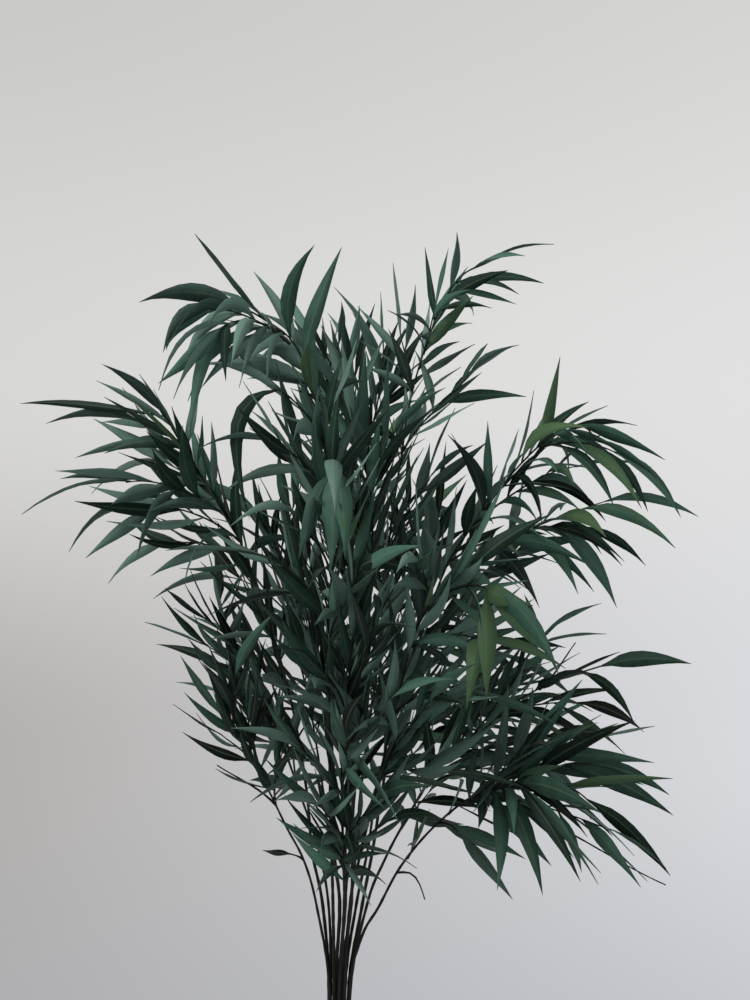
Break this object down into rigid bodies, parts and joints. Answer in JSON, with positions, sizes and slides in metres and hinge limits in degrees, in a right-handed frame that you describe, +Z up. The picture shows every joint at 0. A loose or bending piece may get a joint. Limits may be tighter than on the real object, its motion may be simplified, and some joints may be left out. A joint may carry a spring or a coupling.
{
  "type": "vase of preserved nicholii eucalyptus",
  "caption": "Bunch of preserved narrow-leaved eucalyptus branches, spreading and arching out of a plain pale ceramic bottle vase with a flat foot.",
  "frame": {"origin": "centre of the vase's foot, on the surface that the vase stands on", "axes": "+Z up along the vase's axis; the bunch's broad side faces -Y, with +X to the right seen from there"},
  "size_m": [0.5699, 0.528, 0.9193],
  "materials": {
    "ceramic": "satin glaze",
    "leaf": "preserved leaf, semi-matte blue-green",
    "bark": "dark brown-green bark"
  },
  "bodies": {
    "root": {"vase": "ceramic", "stem_right_low": "leaf", "stem_right_arch": "leaf", "stem_back_right": "leaf", "stem_back": "leaf", "stem_back_left": "leaf", "stem_left_mid": "leaf", "stem_left_high": "leaf", "stem_left_low": "leaf", "stem_left_arch_front": "leaf", "stem_front": "leaf", "stem_right_front": "leaf", "stem_right_droop": "leaf", "stem_top_right": "leaf", "stem_top_back": "leaf", "stem_top_left": "leaf", "stem_top_front": "leaf"}
  },
  "joints": []
}
